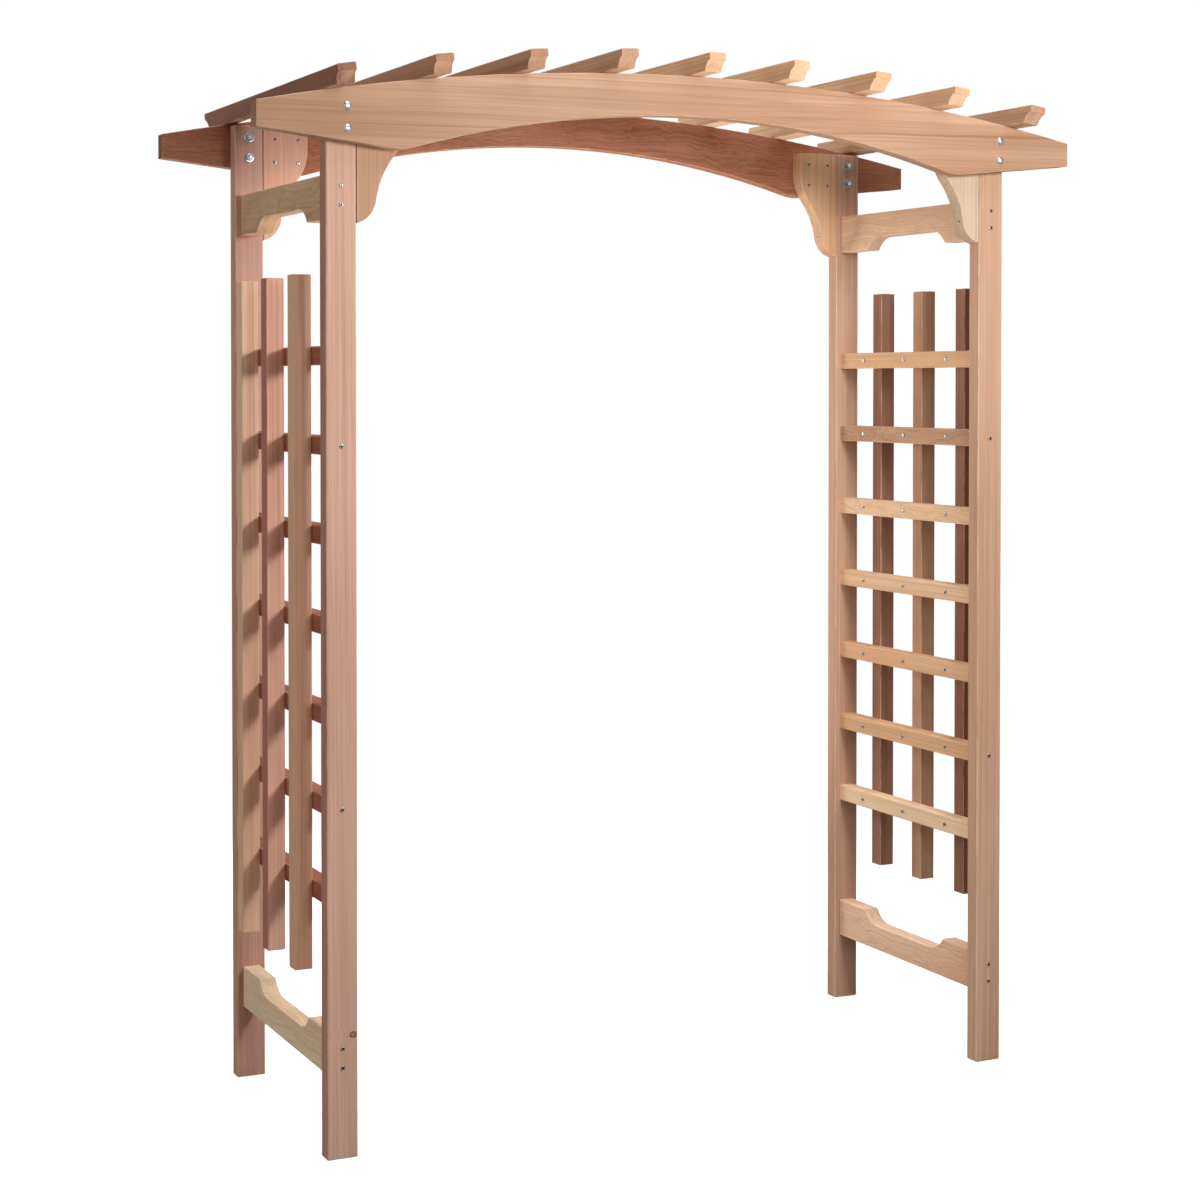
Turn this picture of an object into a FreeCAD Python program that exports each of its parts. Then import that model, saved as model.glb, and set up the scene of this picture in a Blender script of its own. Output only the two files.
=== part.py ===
"""Arched cedar garden arbor with lattice sides, in millimetres.

Four posts carry two arched beams and nine rafters.  Each side has an upper and a
lower shaped brace and a lattice of seven rails and three slats.  The origin is on
the ground at the centre of the four posts; X runs across the walk-through, -Y is
the front and Z is up.
"""
import FreeCAD, Part
import math
import os

Vec = FreeCAD.Vector
UP = Vec(0, 0, 1)

# ---- overall sizes ---------------------------------------------------------
arbor_width = 1608.0         # outer faces of the left and right posts
arbor_depth = 650.0          # front face of the front posts to back of the rear posts
post_height = 2110.0

# ---- dressed lumber --------------------------------------------------------
post_width = 63.5            # along X
board = 38.0                 # thickness of posts, beams, brackets and braces
batten = 38.0                # square section of rails, slats and rafters
brace_height = 89.0
eased_edge = 3.0             # rounding on posts, braces, rails, slats and rafters
fine_edge = 1.5              # rounding on sawn ends and on the beams

# ---- arched beams ----------------------------------------------------------
beam_overhang = 152.0        # past the outer face of a post
beam_over_post = 5.3         # top edge above the post top, at the post's outer face
crown_rise = 69.0            # crown of the top edge above that point
beam_end_height = 52.0
knee_inset = 90.0            # lowest point, inside the inner face of a post
knee_below_bolt = 37.0
knee_radius = 120.0
arch_rise = 97.0             # crown of the underside above the knees

# ---- rafters ---------------------------------------------------------------
rafter_count = 9
rafter_overhang = 94.0       # past the outer face of a beam
rafter_inset = 4.0           # centre line of the end rafters inside the post's outer face
rafter_seat = 0.05           # gap between the flat rafter and the curved beam
nose_height = 15.0
nose_step = 3.0
cove_setback = 21.0
cove_sag = 4.0

# ---- corner brackets -------------------------------------------------------
bracket_width = 104.0
bracket_shoulder = 48.0      # straight side below the top corner
bulge_radius = 113.0
cove_radius = 188.0
toe_radius = 55.0
lean_angle = 38.0            # slope of the scroll from the vertical, between bulge and cove
heel_angle = 8.0             # slope between cove and toe

# ---- side braces -----------------------------------------------------------
upper_brace_drop = 199.0     # centre line below the post top
lower_brace_rise = 202.0     # centre line above the ground
cutout_flat = 224.0
cutout_depth = 30.0
cutout_run = 56.0            # length of each rounded end of the cut-out

# ---- lattice ---------------------------------------------------------------
rail_count = 7
slat_count = 3
slat_pitch = 178.0
lattice_gap = 106.0          # between the slat ends and the braces
slat_tail = 145.0            # slat end beyond the outermost rail
fixed_rails = (1, 5)         # rails screwed to the posts, counted from the lowest

# ---- carriage bolts --------------------------------------------------------
bolt_below_top = 70.4        # lower bolt below the post top
bolt_spacing = 44.0
bolt_radius = 3.97
bolt_tail = 4.5              # thread standing out of the nut
bolt_head_radius = 9.3
bolt_head_height = 4.4
bolt_head_rim = 0.7
bolt_neck = 8.0
bolt_neck_length = 5.0
bolt_tip_chamfer = 1.0
washer_radius = 11.1
washer_bore = 4.6
washer_thickness = 1.6
nut_flats = 12.7
nut_height = 6.8
nut_chamfer = 0.7
bolt_clearance = 0.15        # round a bolt, in wood
thread_clearance = 0.05      # round a bolt, in its nut

# ---- wood screws -----------------------------------------------------------
screw_radius = 2.1
screw_length = 63.5
screw_tip = 8.0
screw_head_radius = 4.5
screw_head_height = 2.6
screw_head_round = 1.4
screw_recess = 2.7
screw_recess_depth = 1.7
screw_clearance = 0.1
brace_screw_spacing = 38.0
bracket_screw_edge = 28.0    # nearer column of screws, from the post
bracket_screw_columns = 53.0
bracket_screw_rows = 50.0
bracket_screw_drop = 28.0    # upper row below the post top
toe_screw_drop = 206.0       # below the post top
toe_screw_sink = 1.0         # head below the curved edge

# ---- derived places --------------------------------------------------------
half_width = arbor_width / 2
half_depth = arbor_depth / 2
post_x = half_width - post_width / 2
post_y = half_depth - board / 2
inner_face = half_width - post_width
clear_depth = arbor_depth - 2 * board
bolt_low = post_height - bolt_below_top
bolt_levels = (bolt_low, bolt_low + bolt_spacing)
bolt_grip = 2 * board
bolt_length = bolt_grip + washer_thickness + nut_height + bolt_tail
upper_brace_z = post_height - upper_brace_drop
lower_brace_z = lower_brace_rise

beam_half = half_width + beam_overhang
crown_z = post_height + beam_over_post + crown_rise
top_radius = (half_width ** 2 + crown_rise ** 2) / (2 * crown_rise)
top_centre_z = crown_z - top_radius
knee_x = inner_face - knee_inset
knee_z = bolt_low - knee_below_bolt

slat_bottom = lower_brace_z + brace_height / 2 + lattice_gap
slat_top = upper_brace_z - brace_height / 2 - lattice_gap
rail_low = slat_bottom + slat_tail + batten / 2
rail_high = slat_top - slat_tail - batten / 2
rail_pitch = (rail_high - rail_low) / (rail_count - 1)
rail_levels = [rail_low + rail_pitch * i for i in range(rail_count)]
slat_places = [slat_pitch * (i - (slat_count - 1) / 2) for i in range(slat_count)]
slat_x = post_x + batten

SIDES = (("left", -1), ("right", 1))
ROWS = (("front", -1), ("rear", 1))


# ---- helpers ---------------------------------------------------------------
def block(size_x, size_y, size_z, centre):
    corner = centre - Vec(size_x, size_y, size_z) * 0.5
    return Part.makeBox(size_x, size_y, size_z, corner)


def eased(shape, radius, wanted=lambda edge: True):
    """Round the edges that pass the test."""
    return shape.makeFillet(radius, [edge for edge in shape.Edges if wanted(edge)])


def runs_along(direction):
    """Test for straight edges parallel to a direction."""
    def test(edge):
        if edge.Curve.TypeId != "Part::GeomLine":
            return False
        return abs(edge.tangentAt(edge.FirstParameter).dot(direction)) > 0.999
    return test


def extruded(edges, travel):
    return Part.Face(Part.Wire(Part.__sortEdges__(edges))).extrude(travel)


def line(a, b):
    return Part.LineSegment(a, b).toShape()


def arc(a, middle, b):
    return Part.Arc(a, middle, b).toShape()


def placed(shape, origin, direction):
    """Copy of a fastener whose shank, drawn along -Z, points along direction."""
    copy = shape.copy()
    copy.Placement = FreeCAD.Placement(origin, FreeCAD.Rotation(-UP, direction))
    return copy


def mirrored_x(shape):
    return shape.mirror(Vec(0, 0, 0), Vec(1, 0, 0))


def mirrored_y(shape):
    return shape.mirror(Vec(0, 0, 0), Vec(0, 1, 0))


# ---- lumber ----------------------------------------------------------------
def post(side, row):
    centre = Vec(side * post_x, row * post_y, post_height / 2)
    return eased(block(post_width, board, post_height, centre), eased_edge)


def top_edge_z(x):
    """Height of the beams' top edge."""
    return top_centre_z + math.sqrt(top_radius ** 2 - x ** 2)


def beam(row):
    """Arched beam on the outer face of the posts."""
    y = row * half_depth
    end_top = top_edge_z(beam_half)
    end_bottom = end_top - beam_end_height
    tip_left, tip_right = Vec(-beam_half, y, end_top), Vec(beam_half, y, end_top)
    heel_left, heel_right = Vec(-beam_half, y, end_bottom), Vec(beam_half, y, end_bottom)
    knee_left, knee_right = Vec(-knee_x, y, knee_z), Vec(knee_x, y, knee_z)
    outline = [
        arc(tip_left, Vec(0, y, crown_z), tip_right),
        line(tip_right, heel_right),
        line(heel_right, knee_right),
        arc(knee_right, Vec(0, y, knee_z + arch_rise), knee_left),
        line(knee_left, heel_left),
        line(heel_left, tip_left),
    ]
    body = extruded(outline, Vec(0, row * board, 0))

    def at_knee(edge):
        return runs_along(Vec(0, 1, 0))(edge) and abs(edge.CenterOfMass.z - knee_z) < 1

    body = eased(body, knee_radius, at_knee)
    return eased(body, fine_edge, lambda edge: not runs_along(Vec(0, 1, 0))(edge))


def rafter(index):
    """Square batten with coved ends, standing square on the beams' curved edge."""
    half_length = half_depth + board + rafter_overhang
    body = block(batten, 2 * half_length, batten, Vec(0, 0, batten / 2))
    body = eased(body, eased_edge, runs_along(Vec(0, 1, 0)))
    reach = Vec(batten, 0, 0)
    start = Vec(-batten / 2, half_length, 0)
    lip = start + Vec(0, 0, batten - nose_height)
    step = lip - Vec(0, nose_step, 0)
    heel = start - Vec(0, cove_setback, 0)
    chord = step - heel
    sag = Vec(0, -chord.z, chord.y).normalize() * cove_sag
    beyond = Vec(0, batten, 0)
    cutter = extruded(
        [
            line(lip + beyond, step),
            arc(step, (step + heel) * 0.5 + sag, heel),
            line(heel, heel - UP * batten),
            line(heel - UP * batten, heel - UP * batten + beyond * 2),
            line(heel - UP * batten + beyond * 2, lip + beyond),
        ],
        reach,
    )
    body = body.cut([cutter, mirrored_y(cutter)])
    x = (half_width - rafter_inset) * (2 * index / (rafter_count - 1) - 1)
    lean = math.degrees(math.asin(x / top_radius))
    turn = FreeCAD.Rotation(Vec(0, 1, 0), lean)
    seat = Vec(x, 0, top_edge_z(x)) + turn.multVec(UP * rafter_seat)
    body.Placement = FreeCAD.Placement(seat, turn)
    return body


def scroll_arc(start, radius, angle_from, angle_to):
    """Arc of the bracket's scroll in (distance from post, height), by its slopes."""
    def point(angle):
        turned = math.radians(angle)
        begun = math.radians(angle_from)
        sense = 1 if angle_to > angle_from else -1
        across = sense * radius * (math.cos(begun) - math.cos(turned))
        down = sense * radius * (math.sin(turned) - math.sin(begun))
        return Vec(start.x - across, 0, start.z - down)

    middle, end = point((angle_from + angle_to) / 2), point(angle_to)
    return arc(start, middle, end), end


def bracket_blank():
    """Scrolled bracket with its back edge on X = 0 and its top at Z = 0."""
    corner = Vec(bracket_width, 0, 0)
    shoulder = corner - UP * bracket_shoulder
    bulge, bulge_end = scroll_arc(shoulder, bulge_radius, 0, lean_angle)
    cove, cove_end = scroll_arc(bulge_end, cove_radius, lean_angle, heel_angle)
    toe_slope = math.cos(math.radians(heel_angle)) - cove_end.x / toe_radius
    toe_angle = math.degrees(math.acos(toe_slope))
    toe, toe_end = scroll_arc(cove_end, toe_radius, heel_angle, toe_angle)
    outline = [line(Vec(0, 0, 0), corner), line(corner, shoulder), bulge, cove, toe,
               line(toe_end, Vec(0, 0, 0))]
    return extruded(outline, Vec(0, board, 0))


def bracket(side, row):
    """Bracket against the inner face of its post and of its beam."""
    body = eased(bracket_blank(), fine_edge, lambda edge: not runs_along(Vec(0, 1, 0))(edge))
    body.translate(Vec(-inner_face, -half_depth, post_height))
    if side > 0:
        body = mirrored_x(body)
    if row > 0:
        body = mirrored_y(body)
    return body


def brace(side, level, cut_side):
    """Brace between two posts, with a round-ended cut-out above (1) or below (-1)."""
    body = block(board, clear_depth, brace_height, Vec(side * post_x, 0, level))
    x = side * post_x - board / 2
    edge_z = level + cut_side * brace_height / 2
    floor_z = edge_z - cut_side * cutout_depth
    flat, mouth = cutout_flat / 2, cutout_flat / 2 + cutout_run
    radius = (cutout_run ** 2 + cutout_depth ** 2) / (2 * cutout_depth)
    half_run = cutout_run / 2
    half_rise = radius - math.sqrt(radius ** 2 - half_run ** 2)
    proud_z = edge_z + cut_side * cutout_depth
    outline = [
        line(Vec(x, -flat, floor_z), Vec(x, flat, floor_z)),
        arc(Vec(x, flat, floor_z), Vec(x, flat + half_run, floor_z + cut_side * half_rise),
            Vec(x, mouth, edge_z)),
        line(Vec(x, mouth, edge_z), Vec(x, mouth, proud_z)),
        line(Vec(x, mouth, proud_z), Vec(x, -mouth, proud_z)),
        line(Vec(x, -mouth, proud_z), Vec(x, -mouth, edge_z)),
        arc(Vec(x, -mouth, edge_z), Vec(x, -flat - half_run, floor_z + cut_side * half_rise),
            Vec(x, -flat, floor_z)),
    ]
    body = body.cut(extruded(outline, Vec(board, 0, 0)))
    return eased(body, eased_edge, lambda edge: not runs_along(Vec(1, 0, 0))(edge))


def rail(side, level):
    body = block(batten, clear_depth, batten, Vec(side * post_x, 0, level))
    return eased(body, eased_edge, runs_along(Vec(0, 1, 0)))


def slat(side, y):
    centre = Vec(side * slat_x, y, (slat_bottom + slat_top) / 2)
    return eased(block(batten, batten, slat_top - slat_bottom, centre), fine_edge)


# ---- fasteners, drawn with the shank along -Z ------------------------------
def turned(points):
    """Solid of revolution about Z from a closed outline in the XZ plane."""
    return Part.Face(Part.makePolygon(points + points[:1])).revolve(Vec(0, 0, 0), UP, 360)


def screw():
    head = Part.makeCylinder(screw_head_radius, screw_head_height)
    rim = [edge for edge in head.Edges if edge.CenterOfMass.z > screw_head_height / 2
           and edge.Curve.TypeId == "Part::GeomCircle"]
    head = head.makeFillet(screw_head_round, rim)
    recess = block(screw_recess, screw_recess, screw_recess_depth,
                   UP * (screw_head_height - screw_recess_depth / 2))
    shank = turned([Vec(0, 0, 0), Vec(screw_radius, 0, 0),
                    Vec(screw_radius, 0, screw_tip - screw_length), Vec(0, 0, -screw_length)])
    return head.cut(recess).fuse(shank).removeSplitter()


def screw_void():
    return Part.makeCylinder(screw_radius + screw_clearance, screw_length + screw_head_height,
                             UP * screw_head_height, -UP)


def carriage_bolt():
    dome_radius = (bolt_head_radius ** 2 + bolt_head_height ** 2) / (2 * bolt_head_height)
    cap = Part.makeSphere(dome_radius, Vec(0, 0, bolt_head_height - dome_radius))
    head = Part.makeCylinder(bolt_head_radius, bolt_head_height)
    head = head.common(cap).fuse(
        Part.makeCylinder(bolt_head_radius, bolt_head_rim)).removeSplitter()
    neck = block(bolt_neck, bolt_neck, bolt_neck_length, UP * (-bolt_neck_length / 2))
    tip = bolt_tip_chamfer
    shank = turned([Vec(0, 0, 0), Vec(bolt_radius, 0, 0), Vec(bolt_radius, 0, tip - bolt_length),
                    Vec(bolt_radius - tip, 0, -bolt_length), Vec(0, 0, -bolt_length)])
    return head.fuse([neck, shank]).removeSplitter()


def bolt_void():
    neck = block(bolt_neck, bolt_neck, bolt_neck_length, UP * (-bolt_neck_length / 2))
    return neck.fuse(Part.makeCylinder(bolt_radius + bolt_clearance, bolt_length, Vec(), -UP))


def washer(depth):
    """Washer with its face on the wood at the given depth under the bolt head."""
    ring = Part.makeCylinder(washer_radius, washer_thickness, UP * -depth, -UP)
    return ring.cut(Part.makeCylinder(washer_bore, washer_thickness, UP * -depth, -UP))


def nut(depth):
    """Hexagon nut under the washer."""
    corner = nut_flats / math.sqrt(3)
    ring = [Vec(corner * math.cos(math.radians(60 * i)), corner * math.sin(math.radians(60 * i)),
                -depth) for i in range(7)]
    prism = Part.Face(Part.makePolygon(ring)).extrude(-UP * nut_height)
    rounder = turned([Vec(0, 0, -depth), Vec(corner - nut_chamfer, 0, -depth),
                      Vec(corner, 0, -depth - nut_chamfer),
                      Vec(corner, 0, -depth - nut_height + nut_chamfer),
                      Vec(corner - nut_chamfer, 0, -depth - nut_height),
                      Vec(0, 0, -depth - nut_height)])
    bore = Part.makeCylinder(bolt_radius + thread_clearance, nut_height, UP * -depth, -UP)
    return prism.common(rounder).cut(bore)


# ---- where the fasteners go: (origin under the head, direction) -------------
def bolt_places():
    return [(Vec(side * post_x, row * (half_depth + board), z), Vec(0, -row, 0))
            for _, row in ROWS for _, side in SIDES for z in bolt_levels]


def brace_screw_places():
    levels = [brace_z + sign * brace_screw_spacing / 2
              for brace_z in (upper_brace_z, lower_brace_z) for sign in (-1, 1)]
    return [(Vec(side * post_x, row * half_depth, z), Vec(0, -row, 0))
            for _, row in ROWS for _, side in SIDES for z in levels]


def rail_screw_places():
    return [(Vec(side * post_x, row * half_depth, rail_levels[i]), Vec(0, -row, 0))
            for _, row in ROWS for _, side in SIDES for i in fixed_rails]


def slat_screw_places(side):
    return [(Vec(side * (post_x - batten / 2), y, z), Vec(side, 0, 0))
            for z in rail_levels for y in slat_places]


def bracket_screw_places():
    columns = [bracket_screw_edge, bracket_screw_edge + bracket_screw_columns]
    rows = [post_height - bracket_screw_drop, post_height - bracket_screw_drop - bracket_screw_rows]
    return [(Vec(side * (inner_face - u), row * (half_depth - board), z), Vec(0, row, 0))
            for _, row in ROWS for _, side in SIDES for u in columns for z in rows]


def toe_screw_places():
    """Seats on the scrolled edge of each bracket, found by a level probe."""
    probe = line(Vec(0, board / 2, -toe_screw_drop), Vec(bracket_width, board / 2, -toe_screw_drop))
    reach = bracket_blank().common(probe).BoundBox.XMax - toe_screw_sink - screw_head_height
    return [(Vec(side * (inner_face - reach), row * post_y, post_height - toe_screw_drop),
             Vec(side, 0, 0)) for _, row in ROWS for _, side in SIDES]


def rafter_screw_places():
    places = []
    for index in range(rafter_count):
        x = (half_width - rafter_inset) * (2 * index / (rafter_count - 1) - 1)
        inward = Vec(-x, 0, top_centre_z - top_edge_z(x)).normalize()
        head = Vec(x, 0, top_edge_z(x)) - inward * (batten + rafter_seat)
        for _, row in ROWS:
            places.append((head + Vec(0, row * (half_depth + board / 2), 0), inward))
    return places


# ---- assembly --------------------------------------------------------------
def lumber():
    pieces = {}
    for row_name, row in ROWS:
        pieces[f"arched_beam_{row_name}"] = beam(row)
        for side_name, side in SIDES:
            pieces[f"post_{row_name}_{side_name}"] = post(side, row)
            pieces[f"bracket_{row_name}_{side_name}"] = bracket(side, row)
    for index in range(rafter_count):
        pieces[f"rafter_{index + 1}"] = rafter(index)
    for side_name, side in SIDES:
        pieces[f"upper_brace_{side_name}"] = brace(side, upper_brace_z, -1)
        pieces[f"lower_brace_{side_name}"] = brace(side, lower_brace_z, 1)
        for index, level in enumerate(rail_levels):
            pieces[f"rail_{side_name}_{index + 1}"] = rail(side, level)
        for index, y in enumerate(slat_places):
            pieces[f"slat_{side_name}_{index + 1}"] = slat(side, y)
    return pieces


def screw_groups():
    return {
        "brace_screws": brace_screw_places(),
        "rail_screws": rail_screw_places(),
        "slat_screws_left": slat_screw_places(-1),
        "slat_screws_right": slat_screw_places(1),
        "bracket_screws": bracket_screw_places(),
        "bracket_toe_screws": toe_screw_places(),
        "rafter_screws": rafter_screw_places(),
    }


def drilled(piece, voids):
    near = [void for void in voids if void.BoundBox.intersect(piece.BoundBox)]
    return piece.cut(near) if near else piece


def all_nodes():
    screws = screw_groups()
    bolts = bolt_places()
    voids = [placed(screw_void(), *place) for places in screws.values() for place in places]
    head_room = Part.makeCylinder(screw_head_radius + screw_clearance, bracket_width, Vec(), UP)
    voids += [placed(head_room, *place) for place in screws["bracket_toe_screws"]]
    voids += [placed(bolt_void(), *place) for place in bolts]
    nodes = {name: drilled(piece, voids) for name, piece in lumber().items()}
    hardware = {
        "carriage_bolts": carriage_bolt(),
        "bolt_washers": washer(bolt_grip),
        "bolt_nuts": nut(bolt_grip + washer_thickness),
    }
    for name, piece in hardware.items():
        nodes[name] = Part.makeCompound([placed(piece, *place) for place in bolts])
    for name, places in screws.items():
        nodes[name] = Part.makeCompound([placed(screw(), *place) for place in places])
    return nodes


os.makedirs("parts", exist_ok=True)
for node_name, shape in all_nodes().items():
    shape.exportStep(f"parts/{node_name}.step")
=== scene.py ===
"""Looks for the cedar garden arch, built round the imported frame. Lengths are in metres."""

import math
import random

import bpy
from mathutils import Euler, Matrix, Vector


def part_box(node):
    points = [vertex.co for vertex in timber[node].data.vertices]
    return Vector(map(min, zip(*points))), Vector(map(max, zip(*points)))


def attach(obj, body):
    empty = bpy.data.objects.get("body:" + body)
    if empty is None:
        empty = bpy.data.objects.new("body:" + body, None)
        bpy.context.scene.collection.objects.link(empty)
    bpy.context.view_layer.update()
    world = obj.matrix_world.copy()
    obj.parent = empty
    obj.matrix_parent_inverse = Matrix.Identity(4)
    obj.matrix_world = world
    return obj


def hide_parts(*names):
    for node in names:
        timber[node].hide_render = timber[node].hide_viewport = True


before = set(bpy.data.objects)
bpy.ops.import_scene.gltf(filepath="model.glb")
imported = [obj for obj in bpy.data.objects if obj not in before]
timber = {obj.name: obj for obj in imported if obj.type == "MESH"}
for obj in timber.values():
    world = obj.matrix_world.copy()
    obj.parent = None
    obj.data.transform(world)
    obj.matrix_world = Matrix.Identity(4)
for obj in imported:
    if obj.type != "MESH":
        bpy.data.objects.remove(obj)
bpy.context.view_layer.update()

SIDES = ("left", "right")
RAILS = range(1, 8)
SLATS = range(1, 4)
RAFTERS = range(1, 10)
MM = 0.001
drive = random.Random(11)


# ---------------------------------------------------------------- camera

def set_camera():
    """A standing eye in front of the arch and to its left, looking level past the left post."""
    lens_data = bpy.data.cameras.new("garden_view")
    eye = bpy.data.objects.new("garden_view", lens_data)
    bpy.context.scene.collection.objects.link(eye)
    lens_data.sensor_width = 36
    lens_data.lens = 69.29
    lens_data.shift_y = -0.1417
    lens_data.clip_end = 60
    eye.location = (-2.2823, -4.6558, 1.5398)
    turn_right = 0.447
    look_down = 0.020
    eye.rotation_euler = (math.pi / 2 - look_down, 0, -turn_right)
    bpy.context.scene.camera = eye


# ---------------------------------------------------------------- node helpers

def add(tree, kind, inputs=None, **settings):
    """One shader node; each input takes a value or another node's socket."""
    made = tree.nodes.new("ShaderNode" + kind)
    for name, value in settings.items():
        setattr(made, name, value)
    for name, value in (inputs or {}).items():
        if isinstance(value, bpy.types.NodeSocket):
            tree.links.new(value, made.inputs[name])
        else:
            made.inputs[name].default_value = value
    return made


def maths(tree, operation, *values, clamp=False):
    return add(tree, "Math", dict(enumerate(values)), operation=operation,
               use_clamp=clamp).outputs[0]


def spread(tree, value, low, high, to_low=0.0, to_high=1.0):
    """Eases a value from one range into another."""
    return add(tree, "MapRange", {"Value": value, "From Min": low, "From Max": high,
                                  "To Min": to_low, "To Max": to_high},
               interpolation_type="SMOOTHSTEP").outputs["Result"]


def stretch(tree, vector, along, across):
    """Scales a place along the grain and across it."""
    return add(tree, "VectorMath", {0: vector, 1: (along, across, across)},
               operation="MULTIPLY").outputs["Vector"]


def noise(tree, vector, detail=2.0, roughness=0.5, scale=1.0, output="Fac"):
    return add(tree, "TexNoise", {"Vector": vector, "Scale": scale, "Detail": detail,
                                  "Roughness": roughness}).outputs[output]


def blend(tree, amount, first, second, mode="MIX"):
    """Mixes two colours."""
    made = tree.nodes.new("ShaderNodeMix")
    made.data_type = "RGBA"
    made.blend_type = mode
    for number, value in ((0, amount), (6, first), (7, second)):
        socket = made.inputs[number]
        if isinstance(value, bpy.types.NodeSocket):
            tree.links.new(value, socket)
        else:
            socket.default_value = value
    return made.outputs[2]


def node_group(name, inputs, outputs):
    """A shader node group with named sockets; returns its tree, its inputs and its end node."""
    kinds = {float: "NodeSocketFloat", 3: "NodeSocketVector", 4: "NodeSocketColor"}
    tree = bpy.data.node_groups.new(name, "ShaderNodeTree")
    for label, value in inputs.items():
        kind = kinds[float if isinstance(value, float) else len(value)]
        made = tree.interface.new_socket(name=label, in_out="INPUT", socket_type=kind)
        made.default_value = value
    for label, kind in outputs.items():
        tree.interface.new_socket(name=label, in_out="OUTPUT", socket_type=kinds[kind])
    start = tree.nodes.new("NodeGroupInput")
    end = tree.nodes.new("NodeGroupOutput")
    return tree, start.outputs, end


def use_group(tree, group, inputs):
    made = tree.nodes.new("ShaderNodeGroup")
    made.node_tree = group
    for name, value in inputs.items():
        if isinstance(value, bpy.types.NodeSocket):
            tree.links.new(value, made.inputs[name])
        else:
            made.inputs[name].default_value = value
    return made.outputs


def give_out(tree, end, **sockets):
    for name, socket in sockets.items():
        tree.links.new(socket, end.inputs[name.replace("_", " ")])


def tone(red, green, blue):
    """A finish colour on the usual 0 to 255 scale, as the shader's linear colour."""
    linear = [(c / 255 / 12.92 if c <= 10 else ((c / 255 + 0.055) / 1.055) ** 2.4)
              for c in (red, green, blue)]
    return (*linear, 1.0)


# ---------------------------------------------------------------- shared effects

def make_cedar_figure():
    """Growth rings, fibre and colour drift of one board. X runs along the grain, the pith is on X."""
    tree, given, end = node_group(
        "cedar_figure",
        {"Place": (0.0, 0.0, 0.0), "Ring Pitch": 0.003, "Wander": 0.012, "Wander Length": 1.2},
        {"Late": float, "Fibre": float, "Drift": float, "Band": float, "Height": float})
    place = given["Place"]
    wave_scale = add(tree, "CombineXYZ", {"X": given["Wander Length"], "Y": 6.0, "Z": 6.0}).outputs[0]
    wave_place = add(tree, "VectorMath", {0: place, 1: wave_scale}, operation="MULTIPLY").outputs[0]
    wave = add(tree, "VectorMath", {0: noise(tree, wave_place, 2.5, 0.45, output="Color"),
                                    1: (0.5, 0.5, 0.5)}, operation="SUBTRACT").outputs[0]
    wave = add(tree, "VectorMath", {0: wave, "Scale": given["Wander"]}, operation="SCALE").outputs[0]
    moved = add(tree, "VectorMath", {0: place, 1: wave}, operation="ADD").outputs[0]
    parts = add(tree, "SeparateXYZ", {"Vector": moved}).outputs
    from_pith = add(tree, "CombineXYZ", {"X": 0.0, "Y": parts["Y"], "Z": parts["Z"]}).outputs[0]
    radius = add(tree, "VectorMath", {0: from_pith}, operation="LENGTH").outputs["Value"]
    count = maths(tree, "DIVIDE", radius, given["Ring Pitch"])
    uneven = add(tree, "TexNoise", {"W": maths(tree, "MULTIPLY", count, 0.31), "Scale": 1.0, "Detail": 1.0},
                 noise_dimensions="1D").outputs["Fac"]
    count = maths(tree, "MULTIPLY_ADD", uneven, 4.0, count)
    phase = maths(tree, "FRACT", count)
    rise = maths(tree, "POWER", phase, 4.5)
    fall = spread(tree, phase, 0.92, 1.0, 1.0, 0.0)
    strength = add(tree, "TexWhiteNoise", {"W": maths(tree, "FLOOR", count)},
                   noise_dimensions="1D").outputs["Value"]
    strength = maths(tree, "MULTIPLY_ADD", maths(tree, "POWER", strength, 2.0), 0.8, 0.2)
    late = maths(tree, "MULTIPLY", maths(tree, "MULTIPLY", rise, fall), strength)
    fibre = noise(tree, stretch(tree, place, 4.0, 420.0), 3.0, 0.6)
    fleck = noise(tree, stretch(tree, place, 16.0, 900.0), 1.0, 0.5)
    streak = spread(tree, noise(tree, stretch(tree, moved, 1.2, 300.0), 4.0, 0.65), 0.32, 0.68)
    drift = spread(tree, noise(tree, stretch(tree, moved, 0.8, 10.0), 2.0, 0.5), 0.32, 0.68)
    band = spread(tree, noise(tree, stretch(tree, moved, 0.45, 100.0), 2.0, 0.55), 0.52, 0.74)
    fibre = maths(tree, "MULTIPLY_ADD", fleck, 0.40, maths(tree, "MULTIPLY", fibre, 0.60))
    fibre = maths(tree, "MULTIPLY_ADD", streak, 0.50, maths(tree, "MULTIPLY", fibre, 0.50))
    height = maths(tree, "MULTIPLY_ADD", late, 0.55, fibre)
    give_out(tree, end, Late=late, Fibre=fibre, Drift=drift, Band=band, Height=height)
    return tree


BLUE_LIFT = 1.03   # a touch cooler than the body colours


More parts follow.
